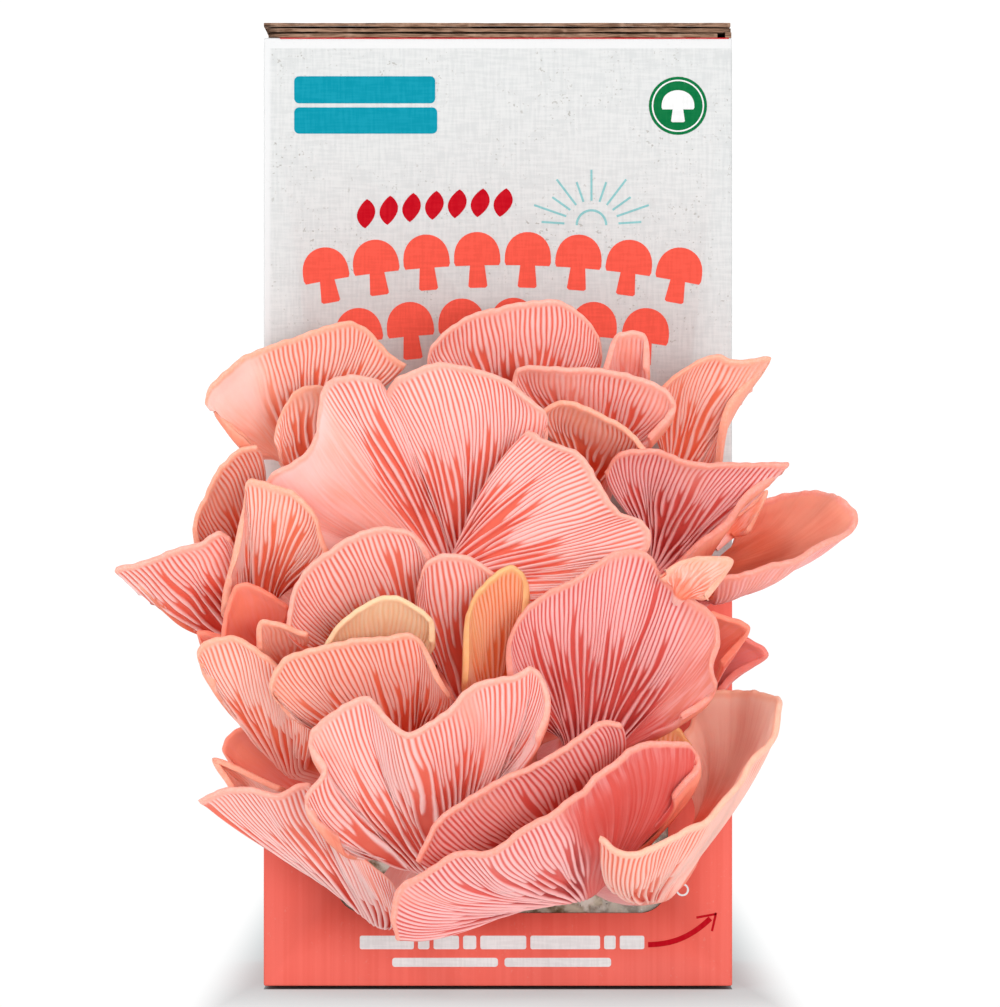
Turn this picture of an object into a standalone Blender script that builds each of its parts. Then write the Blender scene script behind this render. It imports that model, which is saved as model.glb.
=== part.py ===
"""Oyster mushroom grow kit: a carton of growing block with a pink cluster fruiting from its window.

The origin is the middle of the carton's underside, +Z is up and the window faces -Y.
Places on the cluster are written (right, out, up) in millimetres, with out measured from the
carton's front face towards the grower.
"""

import math

import bmesh
import bpy
import numpy as np
from mathutils import Matrix, Vector

MM = 0.001
GAP = 0.3  # between pieces that touch

CARTON_WIDTH = 114.3
CARTON_DEPTH = 84.0
CARTON_HEIGHT = 235.0
BOARD = 1.5  # printed paperboard with a kraft core
FLAP = 1.03  # each top flap, pressed flat
FOLD_OVERLAP = 4.0  # how far down its wall the fold of a flap is drawn
WINDOW_WIDTH = 81.0
WINDOW_BOTTOM = 17.8
WINDOW_TOP = 108.0
WINDOW_RADIUS = 7.0
WINDOW_CENTRE = 1.0

FILM = 0.5  # the bag's film, with the folds in it
BLOCK_HEIGHT = 172.0
BLOCK_EDGE = 6.0
CUT_RADIUS = (35.0, 39.0)  # the hole cut in the film, across and up

BASE_CENTRE = (1.0, 1.0, 52.0)
BASE_RADII = (29.0, 27.0, 33.0)

RIM = 1.8  # how thick a cap is at its edge
STEM_RINGS = 3
FOOT_TAPER = 0.7  # a stem's radius at its foot, as a share of its radius at the neck
CAP_RINGS = (0.2, 0.45, 0.72, 1.0)  # from the neck, 0, to the rim, 1
CAP_STRIPS = 8
SHOULDER = 0.16  # how far a fan's sides stand out beyond straight, as a share of its width

# Each mushroom: its name, its neck, its rim from left to right as seen from the gills,
# how far the gills bulge, the stem's radius, and where its foot is. A stem grows from the base's
# skin facing its neck, or facing the place given. A small cap branches off at a place of its own.
MUSHROOMS = [
    ("left_top_fan", (-49, 16, 130),
     [(-54, 24, 131), (-69, 30, 144), (-56, 30, 156), (-37, 27, 161), (-22, 24, 151)], 3, 3.5, None),
    ("left_inner_lobe", (-46, 29, 126),
     [(-52, 34, 133), (-50, 36, 142), (-45, 36, 146), (-36, 34, 144)],
     2, 2.5, ("branch", (-43, 18.8, 120))),
    ("upper_centre_wide_fan", (-13, 26, 105),
     [(-39, 46, 108), (-49, 50, 129), (-41, 52, 142), (-31, 52, 147), (-11, 53, 149), (4, 54, 144),
      (11, 54, 136)], 6, 5.5, ("base", (-12, 22, 105))),
    ("right_middle_fan", (-10, 40, 98),
     [(7, 56, 135), (19, 59, 129), (26, 62, 119), (35, 61, 109), (24, 57, 97), (8, 54, 92)],
     4, 4.0, ("base", (-2, 42, 92))),
    ("top_centre_fan", (5, 12, 137),
     [(-17, 26, 149), (-9, 29, 162), (9, 30, 166), (21, 28, 162), (25, 24, 154)],
     3, 4.0, ("base", (-4, 4, 137))),
    ("top_small_cap", (30, 14, 138),
     [(25, 30, 150), (28, 31, 158), (35, 31, 158), (36, 30, 150)], 2, 2.5, ("base", (20, 2, 110))),
    ("top_right_upper_tongue", (24, 18, 129),
     [(3, 36, 146), (14, 39, 150), (29, 40, 149), (41, 40, 142), (36, 38, 133)],
     3, 3.5, ("base", (14, 16, 100))),
    ("top_right_lower_tongue", (22, 26, 125),
     [(10, 44, 140), (17, 46, 142), (30, 47, 136), (37, 46, 129)], 2, 3.0, ("base", (12, 32, 96))),
    ("upper_right_fan", (45, 12, 123),
     [(37, 26, 142), (43, 31, 149), (54, 33, 152), (65, 33, 152), (56, 30, 142), (52, 24, 126)],
     2, 3.5, ("base", (40, 4, 105))),
    ("right_wing_fan", (41, 26, 103),
     [(25, 44, 125), (37, 48, 130), (55, 51, 128), (68, 52, 129), (54, 48, 116), (42, 42, 104)],
     4, 4.0, None),
    ("right_small_tip", (55, 32, 111),
     [(57, 36, 116), (64, 38, 121), (60, 36, 111)], 1, 1.5, ("branch", (51.5, 33, 107))),
    ("right_funnel", (49, 16, 97),
     [(51, 50, 103), (67, 52, 108), (83, 46, 113), (83, 36, 118), (74, 24, 122), (57, 16, 116)],
     7, 4.0, None),
    ("right_big_fan", (21, 44, 61),
     [(4, 66, 70), (2, 71, 82), (5, 73, 93), (17, 74, 102), (32, 76, 107), (43, 75, 98), (50, 73, 90),
      (49, 70, 77), (43, 66, 68)], 5, 5.0, None),
    ("right_folded_lobe", (42, 77.8, 97),
     [(37, 80, 101), (43, 82, 105), (54, 83, 105), (48, 82, 96)], 1, 1.5, ("branch", (41, 75.5, 95))),
    ("right_ruffled_cap", (33, 37, 52),
     [(27, 43, 54), (33, 44, 63), (41, 43, 66), (46, 41, 61)], 2, 3.0, ("base", (36, 28, 50))),
    ("right_back_red_cap", (46, 30, 76),
     [(50, 56, 93), (59, 56, 89), (53, 50, 80)], 2, 3.0, None),
    ("right_back_mauve_cap", (46, 20, 71),
     [(58, 40, 87), (64, 42, 82), (57, 38, 77), (53, 36, 73)], 2, 3.0, None),
    ("cream_cap", (-27, 44, 74),
     [(-41, 68, 86), (-35, 70, 93), (-23, 71, 97), (-14, 69, 89)], 3, 3.5, None),
    ("golden_cap", (-2, 46, 68),
     [(-8, 66, 77), (-6, 69, 97), (3, 69, 103), (7, 68, 93)], 3, 3.0, None),
    ("centre_left_arch", (-23, 38, 81),
     [(-50, 60, 90), (-44, 64, 104), (-32, 66, 111), (-19, 65, 112), (-15, 62, 102)], 4, 4.0, None),
    ("centre_pale_fan", (-7, 42, 74),
     [(-19, 62, 98), (-16, 66, 105), (-8, 67, 106), (1, 66, 101)], 3, 3.0, None),
    ("left_column", (-57, 30, 92),
     [(-64, 44, 95), (-61, 50, 115), (-52, 56, 123), (-43, 58, 118), (-38, 54, 107)],
     4, 4.0, ("base", (-50, 34, 94))),
    ("left_back_fan", (-60, 12, 103),
     [(-72, 26, 107), (-69, 29, 121), (-57, 32, 131)], 2, 3.0, None),
    ("left_tip_fan", (-65, 22, 88),
     [(-84, 40, 99), (-89, 42, 102), (-76, 43, 107), (-63, 42, 110)], 3, 3.5, ("base", (-60, 14, 80))),
    ("left_smooth_cap", (-56, 36, 83),
     [(-65, 50, 86), (-62, 52, 97), (-49, 50, 94)], 3, 3.0, ("base", (-52, 34, 66))),
    ("left_small_arch", (-49, 44, 79),
     [(-56, 61, 84), (-55, 63, 91), (-44, 61, 88)], 2, 2.5, ("base", (-46, 48, 79))),
    ("left_sliver", (-63, 34, 80),
     [(-70, 40, 83), (-71, 42, 88), (-65, 42, 87)], 1, 2.0, ("branch", (-57, 32, 77.5))),
    ("left_lower_fan", (-48, 38, 56),
     [(-67, 56, 78), (-68, 62, 86), (-59, 64, 86), (-50, 63, 79), (-43, 58, 66)], 4, 3.5, None),
    ("lower_left_arch", (-23, 48, 61),
     [(-49, 68, 70), (-49, 75, 82), (-34, 78, 86), (-20, 77, 88), (-11, 72, 74)], 4, 4.0, None),
    ("front_centre_fan", (-15, 50, 38),
     [(-31, 70, 39), (-44, 76, 51), (-40, 83, 68), (-30, 86, 76), (-21, 88, 71), (-6, 88, 77),
      (8, 87, 81), (11, 86, 68)], 6, 7.0, ("base", (-9, 42, 28))),
    ("front_diagonal_fan", (14, 56, 39),
     [(-18, 88, 39), (1, 92, 57), (19, 92, 65), (28, 90, 68), (26, 88, 61)],
     4, 4.0, ("base", (8, 62, 46))),
    ("bottom_front_fan", (19, 58, 30),
     [(-23, 88, 22), (-20, 98, 36), (1, 98, 43), (21, 95, 53), (31, 89, 64), (44, 83, 60), (38, 80, 50)],
     6, 5.0, ("base", (24, 60, 26))),
    ("bottom_right_funnel", (31, 40, 20),
     [(22, 96, 43), (40, 98, 46), (58, 87, 58), (64, 70, 70), (55, 50, 76), (44, 37, 66), (36, 34, 55)],
     8, 5.0, ("base", (32, 32, 16))),
    ("bottom_left_fan", (-28, 34, 21),
     [(-69, 54, 49), (-58, 60, 52), (-44, 62, 52), (-32, 56, 36), (-24, 50, 25)],
     4, 4.0, ("base", (-34, 14, 18))),
    ("bottom_left_tip", (-50, 26, 45),
     [(-63, 44, 50), (-67, 45, 58), (-51, 44, 51)], 1, 2.5, None),
    ("left_deep_cap", (-42, 8, 48),
     [(-62, 22, 52), (-66, 26, 60), (-58, 27, 66), (-42, 22, 66)], 2, 3.0, None),
]


def clear_scene():
    for old in list(bpy.data.objects):
        bpy.data.objects.remove(old, do_unlink=True)


def collection(name):
    made = bpy.data.collections.new(name)
    bpy.context.scene.collection.children.link(made)
    return made


def material(name, colour, roughness):
    made = bpy.data.materials.new(name)
    made.use_nodes = True
    shader = made.node_tree.nodes["Principled BSDF"]
    shader.inputs["Base Color"].default_value = (*colour, 1)
    shader.inputs["Roughness"].default_value = roughness
    made.diffuse_color = (*colour, 1)
    return made


def add_object(name, built, home, finish=None):
    mesh = bpy.data.meshes.new(name)
    built.to_mesh(mesh)
    built.free()
    made = bpy.data.objects.new(name, mesh)
    home.objects.link(made)
    if finish:
        mesh.materials.append(finish)
    return made


def box(low, high):
    """A bmesh box between two corners in millimetres."""
    built = bmesh.new()
    bmesh.ops.create_cube(built, size=1)
    size = Vector(high) - Vector(low)
    middle = (Vector(high) + Vector(low)) / 2
    bmesh.ops.scale(built, vec=size * MM, verts=built.verts)
    bmesh.ops.translate(built, vec=middle * MM, verts=built.verts)
    return built


def join_with(target, other, operation):
    """Adds a Boolean modifier, with the other mesh kept as a hidden helper."""
    other.hide_render = True
    other.display_type = "WIRE"
    made = target.modifiers.new(other.name, "BOOLEAN")
    made.operation = operation
    made.object = other
    made.solver = "EXACT"


def round_window(name, width, bottom, top, radius, depth, home):
    """A cutter for a window with rounded corners, through the front panel."""
    outline = bpy.data.curves.new(name, "CURVE")
    outline.dimensions = "2D"
    outline.fill_mode = "BOTH"
    outline.extrude = depth * MM / 2
    spline = outline.splines.new("POLY")
    points = []
    for corner, (side, height) in enumerate(((1, top), (-1, top), (-1, bottom), (1, bottom))):
        inward = -1 if height == top else 1
        for step in range(5):
            angle = math.radians(90 * corner + 22.5 * step)
            points.append((side * (width / 2 - radius) + radius * math.cos(angle),
                           height + inward * radius + radius * math.sin(angle)))
    spline.points.add(len(points) - 1)
    for point, (x, z) in zip(spline.points, points):
        point.co = (x * MM, z * MM, 0, 1)
    spline.use_cyclic_u = True
    drawn = bpy.data.objects.new(name, outline)
    drawn.location = (WINDOW_CENTRE * MM, -CARTON_DEPTH / 2 * MM, 0)
    drawn.rotation_euler = (math.radians(90), 0, 0)
    home.objects.link(drawn)
    bpy.context.view_layer.update()
    graph = bpy.context.evaluated_depsgraph_get()
    mesh = bpy.data.meshes.new_from_object(drawn.evaluated_get(graph))
    built = bmesh.new()
    built.from_mesh(mesh)
    bmesh.ops.remove_doubles(built, verts=built.verts, dist=0.01 * MM)
    bmesh.ops.transform(built, matrix=drawn.matrix_world, verts=built.verts)
    bmesh.ops.recalc_face_normals(built, faces=built.faces)
    bpy.data.objects.remove(drawn)
    return add_object(name, built, home)


def make_carton(home, helpers):
    """One folded blank: four walls and a floor, with three flaps glued down over the top."""
    x, y = CARTON_WIDTH / 2, CARTON_DEPTH / 2
    flap_tops = [CARTON_HEIGHT - (2 - layer) * (FLAP + GAP) for layer in range(3)]
    front_top = flap_tops[0] - FLAP - GAP
    carton = add_object("carton", box((-x, -y, 0), (x, y, front_top)), home,
                        material("printed_board", (0.86, 0.85, 0.83), 0.7))
    inside = box((-x + BOARD, -y + BOARD, BOARD), (x - BOARD, y - BOARD, CARTON_HEIGHT))
    join_with(carton, add_object("carton_inside", inside, helpers), "DIFFERENCE")
    window = round_window("window", WINDOW_WIDTH, WINDOW_BOTTOM, WINDOW_TOP, WINDOW_RADIUS,
                          4 * BOARD, helpers)
    join_with(carton, window, "DIFFERENCE")
    folds = (
        ("left", (-x, -y), (-x + BOARD, y - BOARD - GAP), (x - BOARD - GAP, y - BOARD - GAP)),
        ("right", (x - BOARD, -y), (x, y - BOARD - GAP), (-x, -y)),
        ("back", (-x, y - BOARD), (x, y), (-x, -y)),
    )
    for (side, near, far, reach), top in zip(folds, flap_tops):
        wall = box((*near, front_top - FOLD_OVERLAP), (*far, top))
        join_with(carton, add_object(side + "_fold", wall, helpers), "UNION")
        corners = np.array((near, far, (-x, -y), reach))
        flap = box((*corners.min(axis=0), top - FLAP), (*corners.max(axis=0), top))
        join_with(carton, add_object(side + "_flap", flap, helpers), "UNION")
    return carton


def make_block(home):
    """The pressed block of sawdust and mycelium that fills the lower carton."""
    x = CARTON_WIDTH / 2 - BOARD - FILM - 2 * GAP
    y = CARTON_DEPTH / 2 - BOARD - FILM - 2 * GAP
    low = BOARD + FILM + 2 * GAP
    block = add_object("growing_block", box((-x, -y, low), (x, y, BLOCK_HEIGHT)), home,
                       material("mycelium_block", (0.72, 0.66, 0.55), 0.9))
    soft = block.modifiers.new("soft_edges", "BEVEL")
    soft.width = BLOCK_EDGE * MM
    soft.segments = 2
    return block


def make_bag(home, helpers):
    """The film round the block, cut open in front of it."""
    x = CARTON_WIDTH / 2 - BOARD - GAP
    y = CARTON_DEPTH / 2 - BOARD - GAP
    low = BOARD + GAP
    top = BLOCK_HEIGHT + 3 * GAP + FILM
    bag = add_object("grow_bag", box((-x, -y, low), (x, y, top)), home,
                     material("clear_film", (0.8, 0.82, 0.82), 0.2))
    hollow = box((-x + FILM, -y + FILM, low + FILM), (x - FILM, y - FILM, top - FILM))
    join_with(bag, add_object("bag_inside", hollow, helpers), "DIFFERENCE")
    hole = bmesh.new()
    bmesh.ops.create_cone(hole, cap_ends=True, segments=24, radius1=MM, radius2=MM, depth=8 * MM)
    bmesh.ops.rotate(hole, matrix=Matrix.Rotation(math.radians(90), 3, "X"), verts=hole.verts)
    bmesh.ops.scale(hole, vec=(CUT_RADIUS[0], 1, CUT_RADIUS[1]), verts=hole.verts)
    bmesh.ops.translate(hole, vec=Vector((BASE_CENTRE[0], -y, BASE_CENTRE[2])) * MM, verts=hole.verts)
    join_with(bag, add_object("bag_cut", hole, helpers), "DIFFERENCE")
    return bag


def world(point):
    """(right, out, up) in millimetres to world metres."""
    right, out, up = point
    return np.array((right, -CARTON_DEPTH / 2 - out, up)) * MM


def make_base(home):
    """The fused foot of the cluster, flat where it grows out of the block."""
    built = bmesh.new()
    bmesh.ops.create_uvsphere(built, u_segments=20, v_segments=12, radius=MM)
    right, out, up = BASE_RADII
    bmesh.ops.scale(built, vec=(right, out, up), verts=built.verts)
    bmesh.ops.translate(built, vec=world(BASE_CENTRE), verts=built.verts)
    back = -CARTON_DEPTH / 2 + BOARD + FILM + GAP
    cut = bmesh.ops.bisect_plane(built, geom=built.verts[:] + built.edges[:] + built.faces[:],
                                 dist=0.001 * MM, plane_co=(0, back * MM, 0), plane_no=(0, 1, 0),
                                 clear_outer=True)
    edges = [part for part in cut["geom_cut"] if isinstance(part, bmesh.types.BMEdge)]
    bmesh.ops.contextual_create(built, geom=edges)
    return add_object("cluster_base", built, home, material("fused_stems", (0.9, 0.6, 0.52), 0.6))


def unit(vectors):
    return vectors / np.maximum(np.linalg.norm(vectors, axis=-1, keepdims=True), 1e-12)


def bezier(a, b, c, d, t):
    return (1 - t) ** 3 * a + 3 * t * (1 - t) ** 2 * b + 3 * t * t * (1 - t) * c + t**3 * d


def even_curve(points, count):
    """Points evenly spaced along a smooth curve through the given ones."""
    points = np.array(points)
    ends = np.vstack((2 * points[0] - points[1], points, 2 * points[-1] - points[-2]))
    fine = []
    for before, start, end, after in zip(ends, ends[1:], ends[2:], ends[3:]):
        for t in np.linspace(0, 1, 12, endpoint=False):
            fine.append(bezier(start, start + (end - before) / 6, end - (after - start) / 6, end, t))
    fine = np.array(fine + [points[-1]])
    along = np.concatenate(([0], np.cumsum(np.linalg.norm(np.diff(fine, axis=0), axis=1))))
    wanted = np.linspace(0, along[-1], count)
    return np.stack([np.interp(wanted, along, fine[:, axis]) for axis in range(3)], axis=1)


def foot_of(foot, neck):
    """Where a stem starts and the way it sets off."""
    kind, aim = foot or ("base", neck)
    if kind == "branch":
        return world(aim), unit(world(neck) - world(aim))
    middle, radii = np.array(BASE_CENTRE), np.array(BASE_RADII)
    ray = unit(np.array(aim, float) - middle)
    reach = 1 / np.linalg.norm(ray / radii)
    skin = middle + ray * reach
    normal = unit((skin - middle) / radii**2)
    start = world(skin + normal * 1.3 * GAP)
    return start, unit(world(skin + normal) - world(skin))


def mushroom_rings(neck, rim, bulge, stem, foot):
    """The loops of points of one mushroom, from the foot to the rim. The first half of a loop,
    from left to right, lies on the gills, and the rest comes back along the cap's top."""
    edge = even_curve([world(point) for point in rim], CAP_STRIPS + 1)
    neck_at = world(neck)
    start, normal = foot_of(foot, neck)
    across = np.linspace(0, 1, CAP_STRIPS + 1)
    spread, arch = -np.cos(math.pi * across), np.sin(math.pi * across)

    heading = unit(unit(neck_at - start) + 0.6 * unit(edge.mean(axis=0) - neck_at))
    wide = edge[-1] - edge[0]
    side = unit(wide - wide.dot(heading) * heading)

    rings = []
    length = np.linalg.norm(neck_at - start)
    for t in np.linspace(0, 1, STEM_RINGS):
        middle = bezier(start, start + normal * length * 0.4, neck_at - heading * length * 0.35,
                        neck_at, t)
        along = unit(normal * (1 - t) + heading * t)
        right = unit(side - side.dot(along) * along)
        front = np.cross(right, along)
        radius = stem * MM * (FOOT_TAPER + (1 - FOOT_TAPER) * t)
        loop = middle + np.outer(spread, right) * radius * (1 + 0.3 * t)
        thick = np.outer(arch, front) * radius
        rings.append((loop + thick, loop - thick))

    root = neck_at + np.outer(spread, side) * stem * MM * 1.3
    reach = np.linalg.norm(edge - root, axis=1, keepdims=True)
    turn = np.cross(np.gradient(edge, axis=0), edge - neck_at)
    swell = unit(0.5 * unit(turn) + 0.5 * unit(turn.mean(axis=0)))
    shoulder = np.outer(spread, side) * np.linalg.norm(wide) * SHOULDER
    opening = root + heading * reach * 0.12 + (edge - root) * 0.15 + shoulder / 2
    filling = root + (edge - root) * 0.6 + shoulder + swell * bulge * MM
    sheets = [bezier(root, opening, filling, edge, t) for t in (0, *CAP_RINGS)]
    for ring, t in enumerate(CAP_RINGS, 1):
        sheet = sheets[ring]
        ahead = sheets[min(ring + 1, len(CAP_RINGS))] - sheets[ring - 1]
        facing = unit(np.cross(np.gradient(sheet, axis=0), ahead))
        half = (RIM / 2 + (stem - RIM / 2) * (1 - t) ** 2) * MM
        shape = arch ** (1 - 0.6 * t)
        thick = facing * (half * shape)[:, None]
        rings.append((sheet + thick, sheet - thick))
    return rings


def make_mushroom(name, neck, rim, bulge, stem, foot, home, finish):
    """A stem and cap that grew as one: a loft from a round stem to a thin fan."""
    built = bmesh.new()
    loops = []
    for gills, top in mushroom_rings(neck, rim, bulge, stem, foot):
        loops.append([built.verts.new(point) for point in [*gills, *top[-2:0:-1]]])
    count = 2 * CAP_STRIPS
    for lower, upper in zip(loops, loops[1:]):
        for at in range(count):
            after = (at + 1) % count
            built.faces.new((lower[at], lower[after], upper[after], upper[at]))
    for loop in (loops[0], loops[-1]):
        for at in range(CAP_STRIPS):
            corners = [loop[at], loop[at + 1], loop[(count - at - 1) % count], loop[(count - at) % count]]
            built.faces.new(dict.fromkeys(corners))
    bmesh.ops.recalc_face_normals(built, faces=built.faces)
    bmesh.ops.triangulate(built, faces=built.faces)
    made = add_object(name, built, home, finish)
    made.data.shade_smooth()
    return made


clear_scene()
kit = collection("oyster_mushroom_grow_kit")
cutters = collection("cutters")
make_carton(kit, cutters)
make_block(kit)
make_bag(kit, cutters)
make_base(kit)
FLESH = {
    "cream_cap": (0.93, 0.72, 0.45),
    "golden_cap": (0.95, 0.62, 0.36),
    "right_back_red_cap": (0.9, 0.3, 0.22),
    "right_back_mauve_cap": (0.72, 0.36, 0.4),
}
for name, *shape in MUSHROOMS:
    skin = material(name + "_flesh", FLESH.get(name, (0.95, 0.53, 0.45)), 0.55)
    make_mushroom(name, *shape, kit, skin)
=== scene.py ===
"""Looks of an oyster mushroom grow kit: a printed carton whose window is full of pink oyster
mushrooms. The carton is made first, then its block and bag, then the cluster that grows out."""

import math

import bpy
import numpy as np
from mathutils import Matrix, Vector, noise


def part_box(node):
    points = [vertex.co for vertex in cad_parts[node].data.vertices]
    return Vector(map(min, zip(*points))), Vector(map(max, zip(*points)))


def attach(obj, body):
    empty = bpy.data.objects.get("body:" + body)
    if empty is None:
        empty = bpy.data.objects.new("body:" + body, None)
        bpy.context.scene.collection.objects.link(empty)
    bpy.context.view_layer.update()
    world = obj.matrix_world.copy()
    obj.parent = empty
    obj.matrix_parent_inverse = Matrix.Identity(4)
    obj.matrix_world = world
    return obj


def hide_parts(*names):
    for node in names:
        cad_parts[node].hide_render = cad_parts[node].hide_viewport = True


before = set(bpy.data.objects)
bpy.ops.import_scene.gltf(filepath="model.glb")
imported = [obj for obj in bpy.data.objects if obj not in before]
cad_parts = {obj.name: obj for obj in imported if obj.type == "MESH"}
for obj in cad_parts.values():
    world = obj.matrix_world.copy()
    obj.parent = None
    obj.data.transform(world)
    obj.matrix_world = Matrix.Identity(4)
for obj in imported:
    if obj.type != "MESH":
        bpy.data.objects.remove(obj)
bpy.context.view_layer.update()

# ------------------------------------------------------------
# The carton: one blank of paperboard, printed outside and bare kraft inside, folded into a tall
# box and glued. Three flaps close over each other on top, and a window is punched in the front.

carton_low, carton_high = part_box("carton")
SIDE, FRONT, BACK = carton_high.x, carton_low.y, carton_high.y
BOARD = 0.0015
FLAP = 0.00103
FLAP_GAP = 0.0003
WINDOW = (-39.5, 41.5, 17.8, 108)  # left, right, bottom and top, in millimetres
CORAL_TOP = 0.104  # the coral print ends here and the white begins
SHELL_TOP = carton_high.z - 3 * (FLAP + FLAP_GAP) + FLAP_GAP
LIP_HIGHLIGHT = 0.0026  # how far below the top edge the painted highlight reaches: a lighter strip where the creased board catches the light
# how far in from the left front edge its painted highlight reaches
CREASE_HIGHLIGHT = 0.0022


def unselect():
    if bpy.context.mode != "OBJECT":
        bpy.ops.object.mode_set(mode="OBJECT")
    bpy.ops.object.select_all(action="DESELECT")


def make_active(thing):
    unselect()
    thing.select_set(True)
    bpy.context.view_layer.objects.active = thing


def add_box(name, low, high):
    unselect()
    low, high = Vector(low), Vector(high)
    bpy.ops.mesh.primitive_cube_add(size=1, location=(low + high) / 2, scale=high - low)
    made = bpy.context.object
    made.name = name
    bpy.ops.object.transform_apply(location=True, rotation=True, scale=True)
    return made


def edit_all(thing):
    """Opens a mesh for editing, all of it selected."""
    make_active(thing)
    bpy.ops.object.mode_set(mode="EDIT")
    bpy.ops.mesh.select_mode(type="VERT")
    bpy.ops.mesh.select_all(action="SELECT")


def face_outwards(thing):
    """Turns every face of a closed mesh outwards."""
    edit_all(thing)
    bpy.ops.mesh.normals_make_consistent(inside=False)
    bpy.ops.object.mode_set(mode="OBJECT")


def apply_modifier(thing, kind, **settings):
    make_active(thing)
    modifier = thing.modifiers.new(kind.lower(), kind)
    for key, value in settings.items():
        setattr(modifier, key, value)
    bpy.ops.object.modifier_apply(modifier=modifier.name)


def subtract(thing, cutter):
    apply_modifier(thing, "BOOLEAN", operation="DIFFERENCE", object=cutter, solver="EXACT")
    bpy.data.objects.remove(cutter)


def soften(thing, width, segments=2):
    apply_modifier(thing, "BEVEL", width=width, segments=segments, limit_method="ANGLE")
    bpy.ops.object.shade_smooth_by_angle(angle=math.radians(35))


def shift_points(thing, how):
    """Moves each vertex to where how() puts it, given all of them and their normals."""
    mesh = thing.data
    count = 3 * len(mesh.vertices)
    points, normals = np.empty(count, np.float32), np.empty(count, np.float32)
    mesh.vertices.foreach_get("co", points)
    mesh.vertices.foreach_get("normal", normals)
    moved = how(points.reshape(-1, 3), normals.reshape(-1, 3))
    mesh.vertices.foreach_set("co", np.asarray(moved, np.float32).reshape(-1))
    mesh.update()


def lumps(points, size):
    """Smooth noise from -1 to 1 at each point, with lumps of about that size."""
    return np.array([noise.noise(Vector(point) / size) for point in points])


def finish_piece(thing, node, material):
    thing.data.materials.append(material)
    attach(thing, "root")
    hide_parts(node)


def new_finish(name, roughness=0.6, specular=0.3):
    """A material with its node tree and its shader."""
    finish = bpy.data.materials.new(name)
    finish.use_nodes = True
    shader = finish.node_tree.nodes["Principled BSDF"]
    shader.inputs["Roughness"].default_value = roughness
    shader.inputs["Specular IOR Level"].default_value = specular
    return finish, finish.node_tree, shader


def set_socket(tree, socket, value):
    """Links an output to a socket, or sets the socket to a number or a colour."""
    if isinstance(value, bpy.types.NodeSocket):
        tree.links.new(value, socket)
    elif isinstance(value, tuple) and len(socket.default_value) == 4:
        socket.default_value = (*value, 1)
    else:
        socket.default_value = value


def add_node(tree, kind, inputs=None, **settings):
    made = tree.nodes.new(kind)
    for key, value in settings.items():
        setattr(made, key, value)
    for socket, value in (inputs or {}).items():
        set_socket(tree, made.inputs[socket], value)
    return made


def mixed(tree, factor, first, second):
    """One colour laid over another by a factor."""
    inputs = {0: factor, 6: first, 7: second}
    return add_node(tree, "ShaderNodeMix", inputs, data_type="RGBA").outputs[2]


def maths(tree, operation, *values):
    inputs = dict(enumerate(values))
    return add_node(tree, "ShaderNodeMath", inputs, operation=operation).outputs[0]


def times(tree, first, second):
    return maths(tree, "MULTIPLY", first, second)


def ramp(tree, value, low, high):
    """0 at low and 1 at high, smooth between."""
    inputs = {0: value, 1: low, 2: high}
    return add_node(tree, "ShaderNodeMapRange", inputs, interpolation_type="SMOOTHSTEP").outputs[0]


def cloud(tree, where, scale, detail=2.0):
    """Noise of that scale, from 0 to 1."""
    inputs = {"Vector": where, "Scale": scale, "Detail": detail}
    return add_node(tree, "ShaderNodeTexNoise", inputs).outputs[0]


def object_place(tree):
    """Where each point is, in metres, as one vector and as x, y and z."""
    where = add_node(tree, "ShaderNodeTexCoord").outputs["Object"]
    return where, add_node(tree, "ShaderNodeSeparateXYZ", {0: where}).outputs


def stretched(tree, where, scale):
    """The same place with each axis scaled, to draw noise out into streaks."""
    return add_node(tree, "ShaderNodeMapping", {0: where, 3: scale}).outputs[0]


def bump(tree, shader, height, distance, strength=1.0):
    inputs = {"Strength": strength, "Distance": distance, "Height": height}
    tree.links.new(add_node(tree, "ShaderNodeBump", inputs).outputs[0], shader.inputs["Normal"])


def linen_group():
    """Crossing threads pressed into the board, and the specks of fibre that show through."""
    group = bpy.data.node_groups.new("linen", "ShaderNodeTree")
    for label in ("Weave", "Specks"):
        group.interface.new_socket(label, in_out="OUTPUT", socket_type="NodeSocketFloat")
    where = add_node(group, "ShaderNodeTexCoord").outputs["Object"]
    upright = cloud(group, stretched(group, where, (1500.0, 1500.0, 170.0)), 1.0)
    level = cloud(group, stretched(group, where, (170.0, 170.0, 1500.0)), 1.0)
    weave = maths(group, "ADD", times(group, upright, 0.5), times(group, level, 0.5))
    patchy = cloud(group, where, 90.0)
    specks = times(group, ramp(group, cloud(group, where, 1300.0, 1.0), 0.66, 0.76),
                   ramp(group, patchy, 0.4, 0.65))
    out = add_node(group, "NodeGroupOutput")
    group.links.new(weave, out.inputs["Weave"])
    group.links.new(specks, out.inputs["Specks"])
    return group


LINEN = linen_group()


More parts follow.
